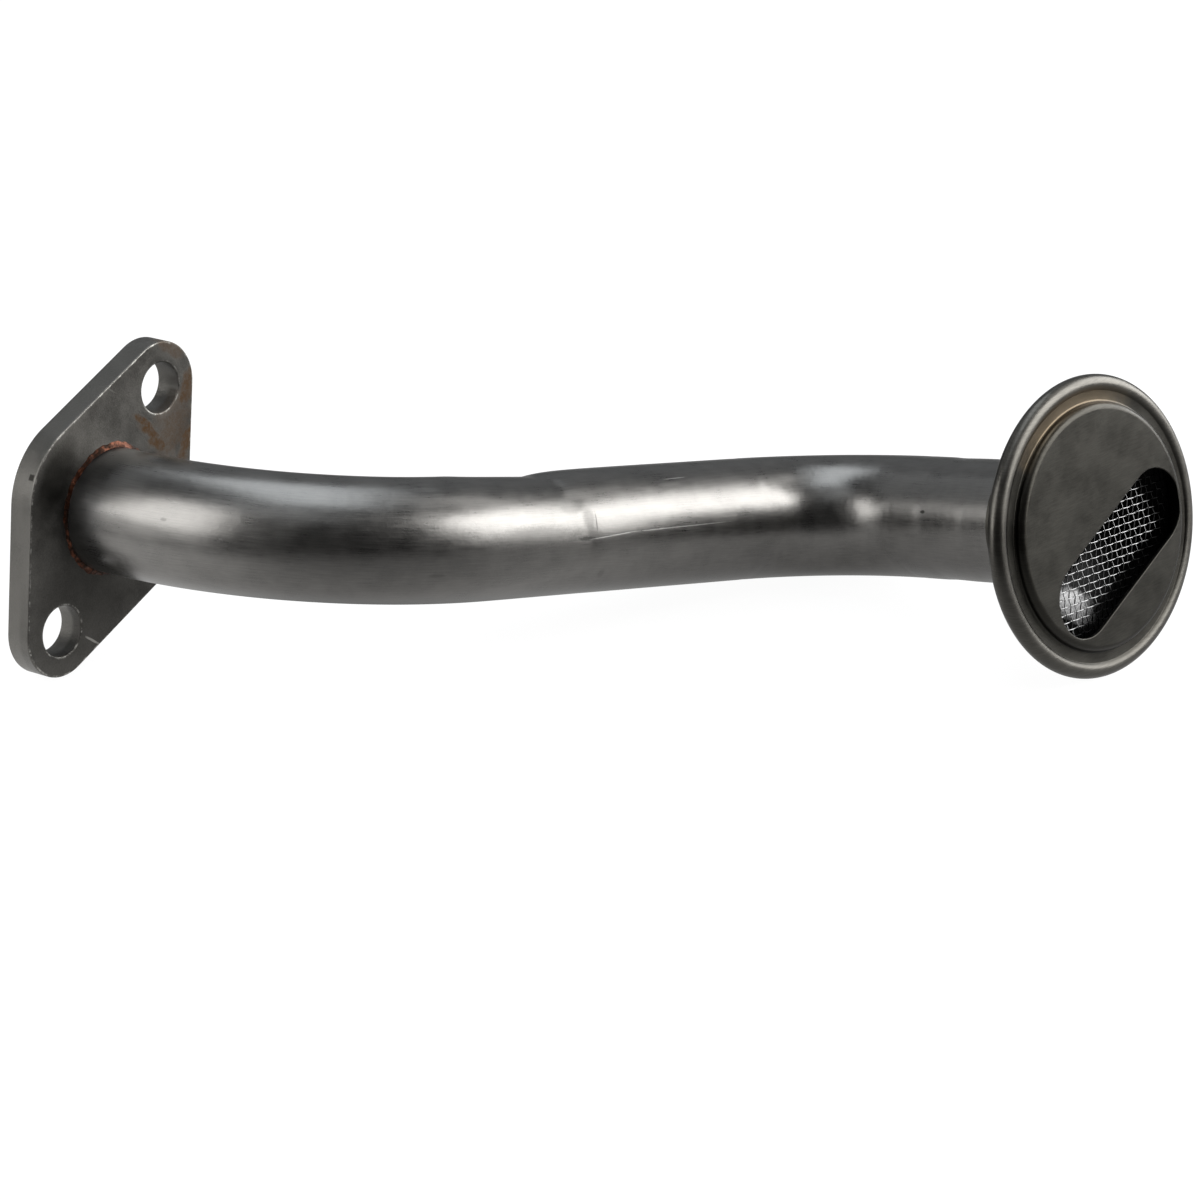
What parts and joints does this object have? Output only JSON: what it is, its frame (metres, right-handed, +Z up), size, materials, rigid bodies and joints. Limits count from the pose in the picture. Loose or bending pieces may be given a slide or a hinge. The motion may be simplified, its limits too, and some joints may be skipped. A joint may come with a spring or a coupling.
{
  "type": "oil pickup tube",
  "caption": "Bent steel oil pickup tube with a bolt-on oval flange at one end and a round crimped strainer with a slotted cover and wire screen at the other.",
  "frame": {"origin": "middle of the part's outline on the table, at table height", "axes": "+Z up, +X along the part from the flange to the strainer, as it lies at rest"},
  "size_m": [0.2068, 0.0656, 0.0516],
  "materials": {
    "flange_steel": "satin",
    "tube_steel": "satin",
    "braze_copper": "matt",
    "seal_rubber": "matt",
    "strainer_steel": "satin",
    "wire_steel": "satin"
  },
  "bodies": {
    "root": {"mounting_flange": "flange_steel", "pickup_tube": "tube_steel", "flange_braze": "braze_copper", "sealing_ring": "seal_rubber", "strainer_housing": "strainer_steel", "strainer_screen": "wire_steel", "strainer_cover": "strainer_steel"}
  },
  "joints": []
}
